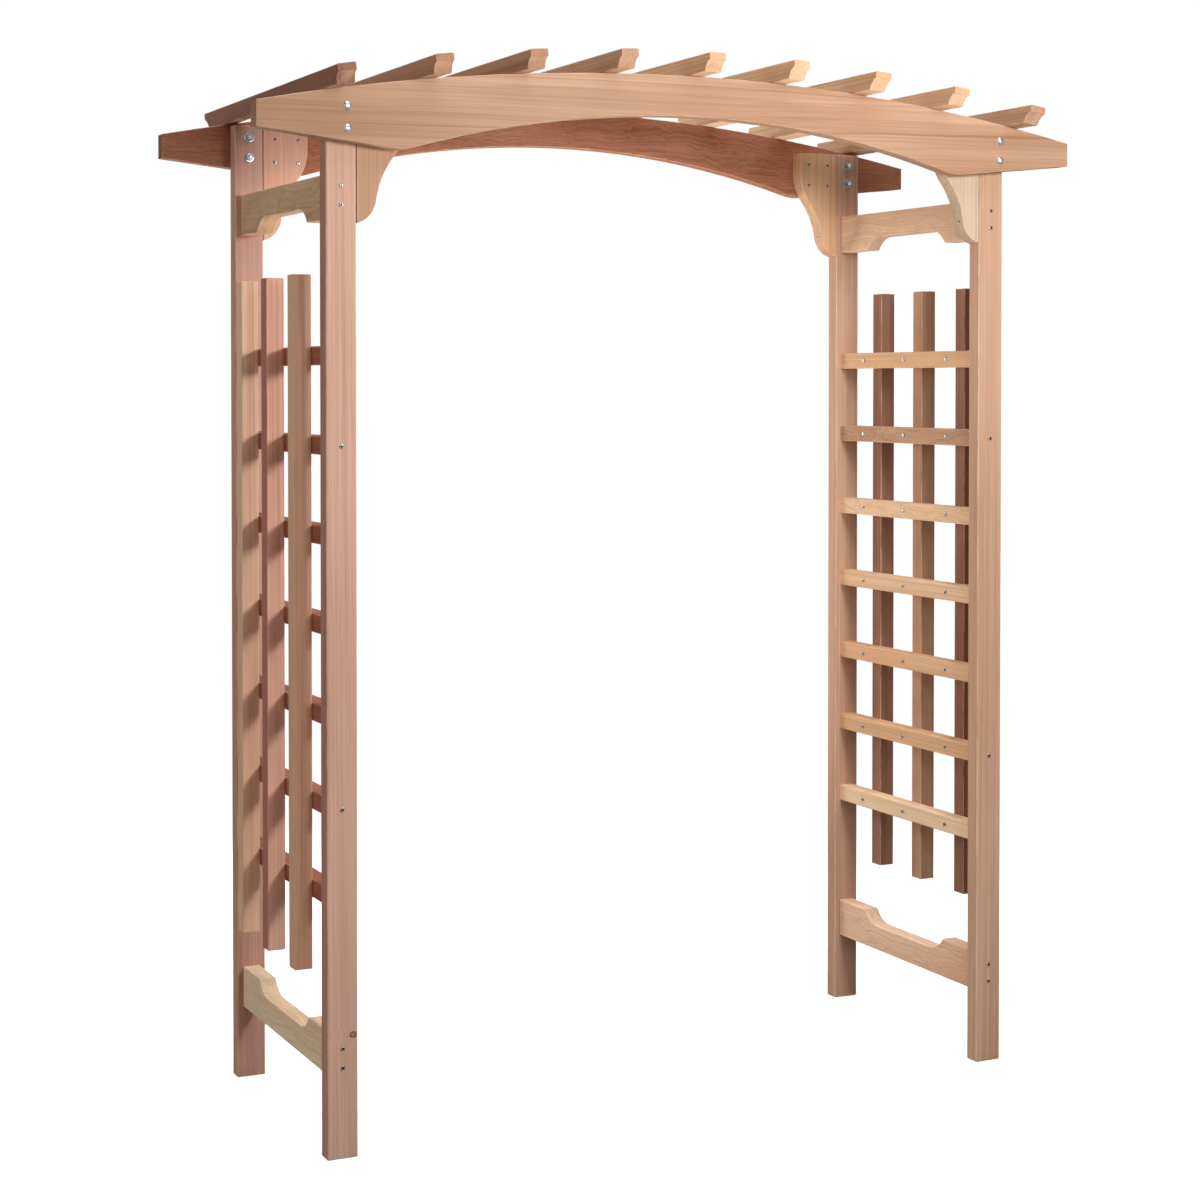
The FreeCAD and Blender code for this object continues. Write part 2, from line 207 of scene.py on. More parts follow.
def make_cedar_tint():
    """Turns the figure's masks into the board's colour and roughness."""
    tree, given, end = node_group(
        "cedar_tint",
        {"Pale": (1.0, 1.0, 1.0, 1.0), "Heart": (1.0, 1.0, 1.0, 1.0), "Dark": (0.2, 0.1, 0.1, 1.0),
         "Late": 0.0, "Fibre": 0.5, "Drift": 0.5, "Band": 0.0,
         "Late Amount": 0.3, "Fibre Amount": 0.3, "Band Amount": 0.2},
        {"Color": 4, "Roughness": float})
    colour = blend(tree, given["Drift"], given["Pale"], given["Heart"])
    for mask in ("Late", "Band"):
        amount = maths(tree, "MULTIPLY", given[mask], given[mask + " Amount"])
        colour = blend(tree, amount, colour, given["Dark"])
    shade = maths(tree, "MULTIPLY_ADD", maths(tree, "SUBTRACT", given["Fibre"], 0.5),
                  given["Fibre Amount"], 1.0)
    blue = maths(tree, "MULTIPLY", shade, BLUE_LIFT)
    shade = add(tree, "CombineColor", {0: shade, 1: shade, 2: blue}).outputs[0]
    colour = blend(tree, 1.0, colour, shade, "MULTIPLY")
    rough = maths(tree, "MULTIPLY_ADD", given["Fibre"], 0.20, 0.68)
    rough = maths(tree, "MULTIPLY_ADD", given["Late"], -0.10, rough)
    give_out(tree, end, Color=colour, Roughness=rough)
    return tree


def make_eased_edge():
    """Handling wear and a painted highlight on the rounded edges: Z is the board's thickness and X its
    grain.
    """
    tree, given, end = node_group(
        "eased_edge",
        {"Color": (1.0, 1.0, 1.0, 1.0), "Wear And Highlight": (1.0, 1.0, 1.0, 1.0), "Facing": (0.0, 0.0, 1.0),
         "Place": (0.0, 0.0, 0.0), "Amount": 0.4, "Square Ends": 1.0},
        {"Color": 4, "Mask": float})
    facing = add(tree, "SeparateXYZ", {"Vector": add(tree, "VectorMath", {0: given["Facing"]},
                                                     operation="ABSOLUTE").outputs[0]}).outputs
    rims = []
    for axis in ("Z", "X"):
        slope = maths(tree, "SUBTRACT", 1.0, facing[axis])
        rims.append(maths(tree, "MULTIPLY", maths(tree, "MULTIPLY", facing[axis], slope), 4.0))
    ends = maths(tree, "MULTIPLY", rims[1], given["Square Ends"])
    rim = maths(tree, "MAXIMUM", rims[0], ends)
    patchy = spread(tree, noise(tree, stretch(tree, given["Place"], 14.0, 60.0), 3.0, 0.6), 0.30, 0.62)
    mask = maths(tree, "MULTIPLY", maths(tree, "MULTIPLY", rim, patchy), given["Amount"], clamp=True)
    give_out(tree, end, Color=blend(tree, mask, given["Color"], given["Wear And Highlight"]), Mask=mask)
    return tree


def make_end_cut():
    """Sawn ends drink more light than planed faces: darker, rougher, with the rings showing."""
    tree, given, end = node_group(
        "end_cut",
        {"Color": (1.0, 1.0, 1.0, 1.0), "Cut": (0.4, 0.25, 0.15, 1.0), "Facing": (0.0, 0.0, 1.0),
         "Late": 0.0, "Place": (0.0, 0.0, 0.0), "Amount": 0.5},
        {"Color": 4, "Mask": float, "Saw": float})
    along = add(tree, "SeparateXYZ", {"Vector": given["Facing"]}).outputs["X"]
    ended = spread(tree, maths(tree, "ABSOLUTE", along), 0.45, 0.92)
    shown = maths(tree, "MULTIPLY_ADD", given["Late"], 0.6, 0.4)
    mask = maths(tree, "MULTIPLY", maths(tree, "MULTIPLY", ended, shown), given["Amount"], clamp=True)
    saw = noise(tree, add(tree, "VectorMath", {0: given["Place"], 1: (60.0, 90.0, 900.0)},
                          operation="MULTIPLY").outputs[0], 2.0, 0.6)
    give_out(tree, end, Color=blend(tree, mask, given["Color"], given["Cut"]), Mask=ended,
             Saw=maths(tree, "MULTIPLY", saw, ended))
    return tree


def make_tight_knot():
    """A small tight knot: its dark rim, its own rings, and how far the grain bends round it."""
    tree, given, end = node_group(
        "tight_knot",
        {"Place": (0.0, 0.0, 0.0), "Centre": (0.0, 0.0, 0.0), "Radius": 0.005},
        {"Core": float, "Rim": float, "Push": float})
    away = add(tree, "VectorMath", {0: given["Place"], 1: given["Centre"]}, operation="SUBTRACT").outputs[0]
    flat = add(tree, "VectorMath", {0: away, 1: (0.85, 0.35, 1.0)}, operation="MULTIPLY").outputs[0]
    rough_edge = noise(tree, away, 2.0, 0.5, 260.0)
    reach = add(tree, "VectorMath", {0: flat}, operation="LENGTH").outputs["Value"]
    reach = maths(tree, "DIVIDE", reach, given["Radius"])
    reach = maths(tree, "MULTIPLY_ADD", maths(tree, "SUBTRACT", rough_edge, 0.5), 0.5, reach)
    core = spread(tree, reach, 0.85, 1.05, 1.0, 0.0)
    rings = maths(tree, "FRACT", maths(tree, "MULTIPLY", reach, 3.0))
    core = maths(tree, "MULTIPLY", core, maths(tree, "MULTIPLY_ADD", rings, 0.5, 0.5))
    outer = spread(tree, reach, 0.80, 1.0)
    inner = spread(tree, reach, 1.05, 1.35, 1.0, 0.0)
    sideways = add(tree, "VectorMath", {0: away, 1: (0.35, 0.2, 1.0)}, operation="MULTIPLY").outputs[0]
    near = add(tree, "VectorMath", {0: sideways}, operation="LENGTH").outputs["Value"]
    push = spread(tree, maths(tree, "DIVIDE", near, given["Radius"]), 0.4, 4.5, 1.0, 0.0)
    give_out(tree, end, Core=core, Rim=maths(tree, "MULTIPLY", outer, inner), Push=push)
    return tree


def make_zinc_spangle():
    """Fine crystal patches and rubbed spots of a bright zinc plating."""
    tree, given, end = node_group(
        "zinc_spangle",
        {"Place": (0.0, 0.0, 0.0), "Grain Size": 900.0, "Bright": (0.8, 0.8, 0.82, 1.0),
         "Dull": (0.5, 0.5, 0.52, 1.0), "Dullness": 0.4},
        {"Color": 4, "Roughness": float, "Height": float})
    cells = add(tree, "TexVoronoi", {"Vector": given["Place"], "Scale": given["Grain Size"]}).outputs
    patch = add(tree, "SeparateColor", {"Color": cells["Color"]}).outputs[0]
    rubbed = noise(tree, given["Place"], 3.0, 0.6, 340.0)
    uneven = maths(tree, "MULTIPLY_ADD", patch, 0.5, maths(tree, "MULTIPLY", rubbed, 0.7))
    dull = maths(tree, "MULTIPLY", uneven, given["Dullness"], clamp=True)
    rough = maths(tree, "MULTIPLY_ADD", dull, 0.35, 0.20)
    height = maths(tree, "MULTIPLY_ADD", patch, 0.3, rubbed)
    colour = blend(tree, dull, given["Bright"], given["Dull"])
    give_out(tree, end, Color=colour, Roughness=rough, Height=height)
    return tree


# ---------------------------------------------------------------- cedar finishes

TURNS = {  # which way the grain of a board runs
    "across": (0.0, 0.0, 0.0),
    "up": (0.0, math.pi / 2, 0.0),
    "deep": (0.0, 0.0, -math.pi / 2),
}
CEDARS = {  # pale wood, heart wood, dark late wood
    "honey": (tone(196, 158, 128), tone(178, 137, 106), tone(118, 74, 50)),
    "brick": (tone(199, 141, 109), tone(178, 116, 87), tone(80, 42, 32)),
    "russet": (tone(178, 112, 88), tone(152, 88, 68), tone(80, 38, 30)),
    "rose": (tone(221, 178, 154), tone(203, 157, 132), tone(136, 86, 68)),
    "amber": (tone(214, 174, 145), tone(197, 155, 124), tone(136, 84, 60)),
    "blush": (tone(220, 174, 154), tone(202, 152, 131), tone(132, 80, 64)),
    "straw": (tone(240, 202, 162), tone(226, 178, 134), tone(160, 104, 66)),
    "wheat": (tone(250, 212, 180), tone(242, 191, 154), tone(172, 114, 80)),
    "cream": (tone(255, 231, 195), tone(250, 215, 174), tone(180, 124, 84)),
    "peach": (tone(246, 196, 170), tone(234, 174, 147), tone(156, 94, 74)),
    "sand": (tone(208, 168, 140), tone(190, 148, 120), tone(128, 82, 60)),
    "fawn": (tone(206, 180, 154), tone(188, 160, 132), tone(126, 84, 60)),
    "corn": (tone(240, 210, 176), tone(226, 187, 150), tone(160, 106, 70)),
    "olive": (tone(231, 192, 152), tone(213, 168, 126), tone(94, 58, 40)),
    "tan": (tone(222, 180, 140), tone(206, 158, 114), tone(138, 86, 54)),
    "chestnut": (tone(202, 160, 128), tone(181, 137, 106), tone(112, 70, 50)),
    "umber": (tone(172, 128, 106), tone(152, 105, 83), tone(84, 50, 38)),
}
# pale of handling wear on the rounded edges, used partly as a painted highlight on the arrises
worn_cedar = tone(240, 212, 184)
cut_cedar = tone(150, 96, 66)
# deep red painted shade for a board's left side that lies in shade
flank_shade_red = tone(150, 62, 44)
knot_heart = tone(120, 74, 54)
knot_bark = tone(58, 32, 26)
gap_dark = tone(38, 24, 18)
KNOT_RADIUS = 5.2 * MM
KNOT_PUSH = 0.006

figure = make_cedar_figure()
tint = make_cedar_tint()
eased = make_eased_edge()
end_cut = make_end_cut()
knot = make_tight_knot()
spangle = make_zinc_spangle()


def cedar(piece, grain, wood, pith, thickness, pitch=0.0028, wander=0.012, wave=1.2, late=0.6, fibre=0.45,
          band=0.20, square=1.0, worn=0.6, lean=0.0, sawn_dark=0.45, knot_at=None, red_flank=0.0, seams=()):
    """The finish of one board. pith is where its tree's centre lay, off the middle of the board.
    The wear and highlight amount paints its rounded edges pale: handling wear, partly a painted highlight.
    The flank amount paints its left side deep red, as painted shade on a side that lies in shade.
    seams are the X places of its shadow gaps."""
    low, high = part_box(piece)
    turn = Euler(TURNS[grain]).to_matrix()
    tilt = Euler((0.0, lean, lean * 0.6)).to_matrix()
    start = drive.uniform(0.0, 9.0)
    offset = Vector((start, *pith)) - (tilt @ turn) @ ((low + high) / 2)
    made = bpy.data.materials.new("cedar_" + piece)
    made.use_nodes = True
    tree = made.node_tree
    shader = tree.nodes["Principled BSDF"]
    coordinates = add(tree, "TexCoord").outputs
    angles = (tilt @ turn).to_euler()
    place = add(tree, "Mapping", {"Vector": coordinates["Object"], "Location": offset,
                                  "Rotation": angles}).outputs[0]
    edge_turn = thickness_turn(grain, thickness)
    facing = add(tree, "Mapping", {"Vector": coordinates["Normal"], "Rotation": edge_turn},
                 vector_type="NORMAL").outputs[0]
    ringed = place
    if knot_at:
        eye = use_group(tree, knot, {"Place": coordinates["Object"], "Centre": knot_at,
                                     "Radius": KNOT_RADIUS})
        bend = maths(tree, "MULTIPLY", eye["Push"], KNOT_PUSH)
        push = add(tree, "CombineXYZ", {"X": 0.0, "Y": 0.0, "Z": bend}).outputs[0]
        ringed = add(tree, "VectorMath", {0: place, 1: push}, operation="ADD").outputs[0]
    grown = use_group(tree, figure, {"Place": ringed, "Ring Pitch": pitch, "Wander": wander,
                                     "Wander Length": wave})
    pale, heart, dark = CEDARS[wood]
    planed = use_group(tree, tint, {
        "Pale": pale, "Heart": heart, "Dark": dark, "Late": grown["Late"], "Fibre": grown["Fibre"],
        "Drift": grown["Drift"], "Band": grown["Band"], "Late Amount": late, "Fibre Amount": fibre,
        "Band Amount": band})
    colour = planed["Color"]
    if knot_at:
        colour = blend(tree, maths(tree, "MULTIPLY", eye["Core"], 0.75), colour, knot_heart)
        colour = blend(tree, eye["Rim"], colour, knot_bark)
    # painted shade: the board's left side turned deep red where it lies in shade
    if red_flank:
        sideways = add(tree, "SeparateXYZ", {"Vector": coordinates["Normal"]}).outputs["X"]
        left_side_shade = maths(tree, "MULTIPLY", sideways, -red_flank, clamp=True)
        colour = blend(tree, left_side_shade, colour, flank_shade_red)
    sawn = use_group(tree, end_cut, {"Color": colour, "Cut": cut_cedar, "Facing": facing,
                                     "Late": grown["Late"], "Place": place, "Amount": sawn_dark})
    # rounded edges painted pale: handling wear, and partly a painted highlight on the arrises
    rubbed = use_group(tree, eased, {"Color": sawn["Color"], "Wear And Highlight": worn_cedar, "Facing": facing,
                                     "Place": place, "Amount": worn, "Square Ends": square})
    colour = rubbed["Color"]
    across = add(tree, "SeparateXYZ", {"Vector": coordinates["Object"]}).outputs["X"]
    for seam in seams:
        away = maths(tree, "ABSOLUTE", maths(tree, "SUBTRACT", across, seam))
        gap = spread(tree, away, 0.6 * MM, 1.8 * MM, 0.85, 0.0)
        colour = blend(tree, gap, colour, gap_dark)
    rough = maths(tree, "MULTIPLY_ADD", sawn["Mask"], 0.18, planed["Roughness"])
    rough = maths(tree, "MULTIPLY_ADD", rubbed["Mask"], -0.08, rough, clamp=True)
    height = maths(tree, "MULTIPLY_ADD", sawn["Saw"], 1.4, grown["Height"])
    bump = add(tree, "Bump", {"Strength": 0.22, "Distance": 0.6 * MM, "Height": height})
    tree.links.new(colour, shader.inputs["Base Color"])
    tree.links.new(rough, shader.inputs["Roughness"])
    tree.links.new(bump.outputs[0], shader.inputs["Normal"])
    shader.inputs["Specular IOR Level"].default_value = 0.15
    return made


def thickness_turn(grain, thickness):
    """The turn that brings the grain to X and the thickness to Z, for the edge and end effects."""
    grain_axis = {"across": "X", "up": "Z", "deep": "Y"}[grain]
    rows = {"X": Vector((1, 0, 0)), "Y": Vector((0, 1, 0)), "Z": Vector((0, 0, 1))}
    x_row, z_row = rows[grain_axis], rows[thickness]
    return Matrix((x_row, z_row.cross(x_row), z_row)).to_euler()


def finish_board(piece, grain, wood, pith, thickness, **figure_values):
    board = timber[piece]
    board.data.materials.clear()
    board.data.materials.append(cedar(piece, grain, wood, pith, thickness, **figure_values))


def finish_boards():
    """Every board gets its own cut from its own tree."""
    finish_board("arched_beam_front", "across", "honey", (0.15, -0.02), "Y", square=0.0, late=0.85,
                 wander=0.02, wave=0.8, pitch=0.0075, band=0.10, lean=0.012)
    finish_board("arched_beam_rear", "across", "brick", (0.03, 0.16), "Y", square=0.0, late=0.85,
                 fibre=0.7, wander=0.07, wave=8.0, pitch=0.0065, lean=-0.015)
    posts = {"front_left": ("rose", (0.07, 0.09), 0.004), "front_right": ("amber", (0.05, 0.11), -0.003),
             "rear_left": ("blush", (0.09, -0.06), 0.005), "rear_right": ("sand", (0.06, -0.10), 0.004)}
    for corner, (wood, pith, lean) in posts.items():
        knot_at = None
        if corner == "front_left":
            low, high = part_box("post_front_left")
            knot_at = (high.x - 10 * MM, low.y, 246 * MM)
        finish_board("post_" + corner, "up", wood, pith, "Y", lean=lean, pitch=0.0028, late=0.36,
                     band=0.09, knot_at=knot_at, red_flank=0.35 if knot_at else 0.0)
    brackets = {"front_left": ("chestnut", (0.02, 0.10)), "front_right": ("fawn", (-0.03, 0.12)),
                "rear_left": ("peach", (0.05, -0.09)), "rear_right": ("tan", (0.03, 0.10))}
    for corner, (wood, pith) in brackets.items():
        low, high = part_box("bracket_" + corner)
        finish_board("bracket_" + corner, "up", wood, pith, "Y", square=0.0, pitch=0.003,
                     seams=(high.x if high.x > 0 else low.x,))
    woods = ("umber", "chestnut", "chestnut", "chestnut", "straw", "straw", "straw", "straw", "chestnut")
    for number, wood in zip(RAFTERS, woods):
        finish_board(f"rafter_{number}", "deep", wood, (0.10 - 0.02 * number, 0.09), "X", pitch=0.0022,
                     late=0.5, square=0.0, sawn_dark=0.5)
    for side, wood, low_wood, late in (("left", "olive", "cream", 1.0), ("right", "corn", "wheat", 0.7)):
        finish_board("upper_brace_" + side, "deep", wood, (0.13, 0.02), "X", square=0.0,
                     wander=0.05, wave=4.0, late=late, pitch=0.006, lean=0.03)
        finish_board("lower_brace_" + side, "deep", low_wood, (0.10, 0.03), "X", square=0.0,
                     wander=0.045, wave=4.5, late=0.6, pitch=0.0046, lean=-0.03)
    # the left rails' russet and the right slats' umber and chestnut are their own darker wood and partly
    # painted shade, for boards that stand in shade
    rail_woods_with_shade = {"left": ("russet",) * 7,
                  "right": ("cream", "straw", "straw", "straw", "straw", "chestnut", "straw")}
    slat_woods_with_shade = {"left": ("wheat", "peach", "wheat"), "right": ("umber", "chestnut", "umber")}
    curly = {5: 0.3, 6: 0.9}
    for side in SIDES:
        for number, wood in zip(RAILS, rail_woods_with_shade[side]):
            if number in curly:
                finish_board(f"rail_{side}_{number}", "deep", wood, (0.11, 0.02), "X", pitch=0.0034,
                             late=curly[number], wander=0.03, wave=9.0, lean=0.10)
            else:
                finish_board(f"rail_{side}_{number}", "deep", wood, (0.04, 0.10), "X", pitch=0.003,
                             late=0.42, wander=0.010, wave=1.2)
        for number, wood in zip(SLATS, slat_woods_with_shade[side]):
            finish_board(f"slat_{side}_{number}", "up", wood, (0.05 * number, 0.09), "X", pitch=0.003,
                         # right slats' arrises painted paler still, as a painted highlight
                         worn=0.6 if side == "left" else 1.4,
                         # left slat 2's left side painted deep red as painted shade
                         red_flank=0.6 if (side, number) == ("left", 2) else 0.0)


# ---------------------------------------------------------------- zinc finishes

def zinc(name, bright, dull, dullness, grain_size, bump_strength):
    made = bpy.data.materials.new(name)
    made.use_nodes = True
    tree = made.node_tree
    shader = tree.nodes["Principled BSDF"]
    place = add(tree, "TexCoord").outputs["Object"]
    plated = use_group(tree, spangle, {"Place": place, "Grain Size": grain_size, "Bright": bright,
                                       "Dull": dull, "Dullness": dullness})
    bump = add(tree, "Bump", {"Strength": bump_strength, "Distance": 0.1 * MM, "Height": plated["Height"]})
    tree.links.new(plated["Color"], shader.inputs["Base Color"])
    tree.links.new(plated["Roughness"], shader.inputs["Roughness"])
    tree.links.new(bump.outputs[0], shader.inputs["Normal"])
    shader.inputs["Metallic"].default_value = 1.0
    return made


bolt_zinc = zinc("bolt_zinc", tone(226, 228, 232), tone(150, 152, 158), 0.35, 700.0, 0.15)
nut_zinc = zinc("nut_zinc", tone(182, 184, 188), tone(104, 104, 108), 0.6, 1000.0, 0.25)
screw_zinc = zinc("screw_zinc", tone(182, 184, 188), tone(100, 102, 106), 0.5, 1400.0, 0.2)
# near-black painted shade for the screws' drive recesses
recess_painted_shade = zinc("recess_painted_shade", tone(52, 52, 54), tone(22, 22, 24), 0.8, 1400.0, 0.3)


# ---------------------------------------------------------------- bench tools

def clear_bench():
    if bpy.context.object is not None and bpy.context.object.mode != "OBJECT":
        bpy.ops.object.mode_set(mode="OBJECT")
    bpy.ops.object.select_all(action="DESELECT")


def work_on(piece):
    clear_bench()
    piece.select_set(True)
    bpy.context.view_layer.objects.active = piece


def pick_faces(piece, wanted):
    """Selects the faces that a test picks out, and leaves the piece in edit mode."""
    work_on(piece)
    bpy.ops.object.mode_set(mode="EDIT")
    bpy.ops.mesh.select_mode(type="FACE")
    bpy.ops.mesh.select_all(action="DESELECT")
    bpy.ops.object.mode_set(mode="OBJECT")
    for face in piece.data.polygons:
        face.select = wanted(face)
    bpy.ops.object.mode_set(mode="EDIT")


def pick_edges(piece, wanted):
    """Selects the edges whose two ends a test accepts, and leaves the piece in edit mode."""
    work_on(piece)
    bpy.ops.object.mode_set(mode="EDIT")
    bpy.ops.mesh.select_mode(type="EDGE")
    bpy.ops.mesh.select_all(action="DESELECT")
    bpy.ops.object.mode_set(mode="OBJECT")
    points = piece.data.vertices
    for edge in piece.data.edges:
        edge.select = wanted(points[edge.vertices[0]].co, points[edge.vertices[1]].co)
    bpy.ops.object.mode_set(mode="EDIT")


def turned_rod(name, radius, top, bottom, sides):
    """A round bar from one height down to another."""
    clear_bench()
    bpy.ops.mesh.primitive_cylinder_add(vertices=sides, radius=radius, depth=top - bottom,
                                        location=(0, 0, (top + bottom) / 2), end_fill_type="NGON")
    piece = bpy.context.object
    piece.name = name
    bpy.ops.object.transform_apply(location=True, rotation=True, scale=True)
    return piece


def cut_thread(piece, start, pitch, turns, root, crest):
    """Draws the lower end of a bar down as a run of thread crests."""
    pick_faces(piece, lambda face: face.normal.z < -0.9 and face.center.z < start + 0.1 * MM)
    height = start
    bpy.ops.transform.resize(value=(root / crest, root / crest, 1), center_override=(0, 0, height))
    for _ in range(turns):
        for share, part in ((crest / root, -0.42), (1.0, -0.12), (root / crest, -0.46)):
            step = part * pitch
            bpy.ops.mesh.extrude_region_move(TRANSFORM_OT_translate={"value": (0, 0, step)})
            height += step
            bpy.ops.transform.resize(value=(share, share, 1), center_override=(0, 0, height))
    return height


def cut_out(piece, cutter, operation="DIFFERENCE"):
    """Cuts one shape out of another and throws the cutter away."""
    work_on(piece)
    change = piece.modifiers.new("cut", "BOOLEAN")
    change.operation = operation
    change.solver = "EXACT"
    change.object = cutter
    bpy.ops.object.modifier_apply(modifier=change.name)
    bpy.data.objects.remove(cutter)


def round_rims(piece, width, segments, angle=50):
    work_on(piece)
    change = piece.modifiers.new("round", "BEVEL")
    change.width = width
    change.segments = segments
    change.limit_method = "ANGLE"
    change.angle_limit = math.radians(angle)
    bpy.ops.object.modifier_apply(modifier=change.name)


def weld(pieces, name):
    """Joins the parts of one fastener and smooths its round faces."""
    clear_bench()
    for piece in pieces:
        piece.select_set(True)
    bpy.context.view_layer.objects.active = pieces[0]
    bpy.ops.object.join()
    piece = bpy.context.object
    piece.name = name
    bpy.ops.object.mode_set(mode="EDIT")
    bpy.ops.mesh.select_all(action="SELECT")
    bpy.ops.mesh.remove_doubles(threshold=0.01 * MM)
    bpy.ops.mesh.normals_make_consistent(inside=False)
    bpy.ops.object.mode_set(mode="OBJECT")
    bpy.ops.object.shade_smooth_by_angle(angle=math.radians(35))
    return piece


def set_out(master, spots, name, node):
    """Copies a fastener to its places as one piece that stands for its CAD node."""
    copies = []
    for place, outward in spots:
        copy = master.copy()
        copy.data = master.data.copy()
        bpy.context.scene.collection.objects.link(copy)
        spin = Matrix.Rotation(drive.uniform(0, math.tau), 4, "Z")
        turn = Vector(outward).to_track_quat("Z", "Y").to_matrix().to_4x4()
        copy.matrix_world = Matrix.Translation(place) @ turn @ spin
        copies.append(copy)
    clear_bench()
    for copy in copies:
        copy.select_set(True)
    bpy.context.view_layer.objects.active = copies[0]
    bpy.ops.object.transform_apply(location=True, rotation=True, scale=True)
    bpy.ops.object.join()
    piece = bpy.context.object
    piece.name = name
    piece.data.name = name
    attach(piece, "root")
    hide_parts(node)
    return piece


def paint(piece, material, inner=None, inner_faces=None):
    """One finish all over, and another one in the recess if there is one."""
    piece.data.materials.clear()
    piece.data.materials.append(material)
    if inner is not None:
        piece.data.materials.append(inner)
        for face in piece.data.polygons:
            face.material_index = 1 if inner_faces(face) else 0


# ---------------------------------------------------------------- fasteners

head_radius = 9.3 * MM
head_height = 4.4 * MM
neck_side = 8.0 * MM
neck_depth = 5.0 * MM
shank_radius = 3.97 * MM
bolt_length = 88.9 * MM
thread_root = shank_radius - 0.45 * MM
thread_pitch = 1.4 * MM
thread_turns = 16
nut_across_flats = 12.7 * MM
nut_height = 6.8 * MM
nut_bore = shank_radius + 0.12 * MM
washer_bore = shank_radius + 0.45 * MM
screw_head_radius = 4.5 * MM
screw_head_height = 2.6 * MM
screw_radius = 2.1 * MM
screw_length = 63.5 * MM
recess_side = 4.0 * MM
recess_depth = 1.9 * MM
screw_thread_top = -24 * MM
brace_screw_step = 19 * MM      # each screw above or below the brace's middle
bracket_columns_apart = 53 * MM


def make_carriage_bolt(length):
    """Domed head on a square neck, with the thread run down to a chamfered tip."""
    clear_bench()
    ball = (head_radius ** 2 + head_height ** 2) / (2 * head_height)
    bpy.ops.mesh.primitive_uv_sphere_add(segments=48, ring_count=40, radius=ball,
                                         location=(0, 0, head_height - ball))
    head = bpy.context.object
    bpy.ops.object.transform_apply(location=True, rotation=True, scale=True)
    bpy.ops.object.mode_set(mode="EDIT")
    bpy.ops.mesh.select_all(action="SELECT")
    bpy.ops.mesh.bisect(plane_co=(0, 0, 0.35 * MM), plane_no=(0, 0, 1), use_fill=True, clear_inner=True)
    bpy.ops.mesh.extrude_region_move(TRANSFORM_OT_translate={"value": (0, 0, -0.35 * MM)})
    bpy.ops.transform.resize(value=(0.985, 0.985, 1), center_override=(0, 0, 0))
    bpy.ops.object.mode_set(mode="OBJECT")
    bpy.ops.mesh.primitive_cube_add(size=1, location=(0, 0, -neck_depth / 2),
                                    scale=(neck_side, neck_side, neck_depth))
    neck = bpy.context.object
    bpy.ops.object.transform_apply(location=True, rotation=True, scale=True)
    pick_faces(neck, lambda face: face.normal.z < -0.9)
    bpy.ops.transform.resize(value=(0.94, 0.94, 1), center_override=(0, 0, -neck_depth))
    bpy.ops.mesh.bevel(offset=0.5 * MM, segments=2)
    bpy.ops.object.mode_set(mode="OBJECT")
    thread_start = -(length - thread_turns * thread_pitch - 1.2 * MM)
    shank = turned_rod("shank", shank_radius, -neck_depth * 0.9, thread_start, 24)
    tip = cut_thread(shank, thread_start, thread_pitch, thread_turns, thread_root, shank_radius)
    bpy.ops.mesh.extrude_region_move(TRANSFORM_OT_translate={"value": (0, 0, -length - tip)})
    bpy.ops.transform.resize(value=(0.8, 0.8, 1), center_override=(0, 0, -length))
    bpy.ops.object.mode_set(mode="OBJECT")
    bolt = weld([head, neck, shank], "carriage_bolt")
    paint(bolt, bolt_zinc)
    return bolt


def make_hex_nut(across_flats, height):
    """A hexagon nut with turned corners and a countersunk bore."""
    corner = across_flats / math.sqrt(3)
    nut = turned_rod("nut", corner, height, 0, 6)
    turning = turned_rod("turning", corner * 1.004, height, 0, 64)
    round_rims(turning, 0.95 * MM, 1)
    cut_out(nut, turning, "INTERSECT")
    cut_out(nut, turned_rod("bore", nut_bore, height + 1 * MM, -1 * MM, 32))
    pick_edges(nut, lambda a, b: all(abs(p.xy.length - nut_bore) < 0.05 * MM for p in (a, b))
               and abs(a.z - b.z) < 0.01 * MM)
    bpy.ops.mesh.bevel(offset=0.5 * MM, segments=1)
    bpy.ops.object.mode_set(mode="OBJECT")
    nut = weld([nut], "hex_nut")
    paint(nut, nut_zinc)
    return nut


def make_washer(radius, thickness):
    """A stamped flat washer, its rims rounded by the press."""
    washer = turned_rod("washer", radius, thickness, 0, 64)
    cut_out(washer, turned_rod("bore", washer_bore, thickness + 1 * MM, -1 * MM, 48))
    round_rims(washer, 0.35 * MM, 3)
    washer = weld([washer], "flat_washer")
    paint(washer, nut_zinc)
    return washer


